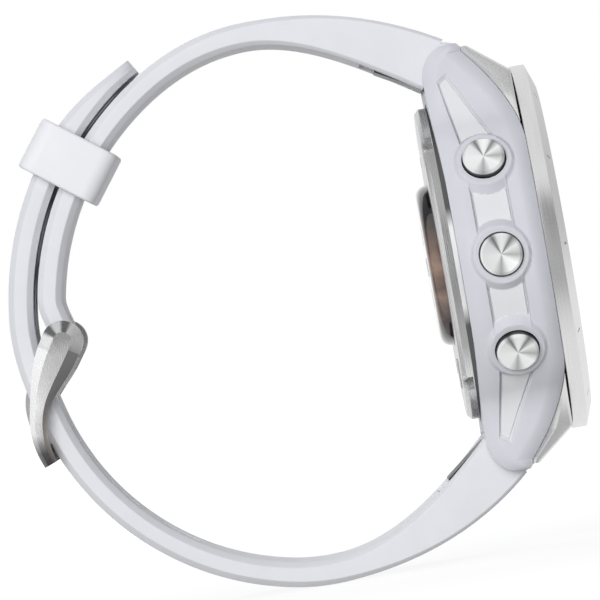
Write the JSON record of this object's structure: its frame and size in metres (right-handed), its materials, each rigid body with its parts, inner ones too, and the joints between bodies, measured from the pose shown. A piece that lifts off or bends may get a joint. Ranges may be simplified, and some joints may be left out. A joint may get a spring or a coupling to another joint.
{
  "type": "golf gps watch",
  "caption": "Round wrist watch with satellite positioning for golf: white case with metal bezel, side push buttons, rear sensor dome and a buckled silicone strap.",
  "frame": {"origin": "centre of the flat sensor window on the back of the case, where the wrist sits", "axes": "+Y from the case back into the strap loop, so the dial faces -Y; +Z towards 12 o'clock; +X towards 3 o'clock"},
  "size_m": [0.0439, 0.0638, 0.0645],
  "materials": {
    "white_polymer": "satin moulded polymer",
    "white_silicone": "matte silicone",
    "brushed_steel": "brushed or spun",
    "dark_steel": "dark satin coating",
    "dark_glass": "polished",
    "clear_lens": "polished",
    "display_black": "glossy",
    "black_rubber": "matte",
    "grey_plastic": "matte",
    "green_board": "solder mask",
    "foil_cell": "foil",
    "gold_contact": "gold plated"
  },
  "bodies": {
    "watch": {"case_body": "white_polymer", "bezel_ring": "brushed_steel", "lug_cover_upper": "brushed_steel", "lug_cover_lower": "brushed_steel", "lens": "clear_lens", "lens_gasket": "black_rubber", "display_module": "display_black", "inner_frame": "grey_plastic", "main_board": "green_board", "battery": "foil_cell", "vibration_motor": "foil_cell", "rear_cover": "brushed_steel", "rear_gasket": "black_rubber", "sensor_window": "dark_glass", "sensor_board": "green_board", "charge_port": "black_rubber", "lug_pin_upper": "brushed_steel", "lug_pin_lower": "brushed_steel", "strap_upper": "white_silicone", "strap_lower": "white_silicone", "rear_screw_1": "brushed_steel", "charge_pin_1": "gold_contact", "rear_screw_2": "brushed_steel", "charge_pin_2": "gold_contact", "rear_screw_3": "brushed_steel", "charge_pin_3": "gold_contact", "rear_screw_4": "brushed_steel", "charge_pin_4": "gold_contact", "button_light_seal": "black_rubber", "button_light_switch": "grey_plastic", "button_up_seal": "black_rubber", "button_up_switch": "grey_plastic", "button_down_seal": "black_rubber", "button_down_switch": "grey_plastic", "button_start_seal": "black_rubber", "button_start_switch": "grey_plastic", "button_back_seal": "black_rubber", "button_back_switch": "grey_plastic"},
    "button_light": {"button_light": "brushed_steel"},
    "button_up": {"button_up": "brushed_steel"},
    "button_down": {"button_down": "brushed_steel"},
    "button_start": {"button_start": "brushed_steel"},
    "button_back": {"button_back": "brushed_steel"},
    "keeper": {"keeper": "white_silicone"},
    "buckle": {"buckle_frame": "brushed_steel", "spring_bar": "brushed_steel"},
    "tang": {"tang": "brushed_steel"},
    "latch_upper": {"latch_upper": "dark_steel"},
    "latch_lower": {"latch_lower": "dark_steel"}
  },
  "joints": [
    {"name": "button_light_press", "type": "slide", "parent": "watch", "child": "button_light", "axis": [0.866, 0, -0.5], "range_m": [0, 0.0007], "stiffness_N_per_m": 3000},
    {"name": "button_up_press", "type": "slide", "parent": "watch", "child": "button_up", "axis": [1, 0, 0], "range_m": [0, 0.0007], "stiffness_N_per_m": 3000},
    {"name": "button_down_press", "type": "slide", "parent": "watch", "child": "button_down", "axis": [0.866, 0, 0.5], "range_m": [0, 0.0007], "stiffness_N_per_m": 3000},
    {"name": "button_start_press", "type": "slide", "parent": "watch", "child": "button_start", "axis": [-0.866, 0, -0.5], "range_m": [0, 0.0007], "stiffness_N_per_m": 3000},
    {"name": "button_back_press", "type": "slide", "parent": "watch", "child": "button_back", "axis": [-0.866, 0, 0.5], "range_m": [0, 0.0007], "stiffness_N_per_m": 3000},
    {"name": "keeper_slide", "type": "hinge", "parent": "watch", "child": "keeper", "pos_m": [0, 0.01099, -0.00173], "axis": [1, 0, 0], "range_deg": [-18, 12]},
    {"name": "buckle_swing", "type": "hinge", "parent": "watch", "child": "buckle", "pos_m": [0, 0.04234, -0.00107], "axis": [1, 0, 0], "range_deg": [0, 5]},
    {"name": "tang_swing", "type": "hinge", "parent": "buckle", "child": "tang", "pos_m": [0, 0.04234, -0.00107], "axis": [1, 0, 0], "range_deg": [0, 5]},
    {"name": "latch_upper_slide", "type": "slide", "parent": "watch", "child": "latch_upper", "axis": [0, 0.874, 0.4859], "range_m": [0, 0.0015], "stiffness_N_per_m": 800},
    {"name": "latch_lower_slide", "type": "slide", "parent": "watch", "child": "latch_lower", "axis": [0, 0.8027, -0.5963], "range_m": [0, 0.0015], "stiffness_N_per_m": 800}
  ]
}
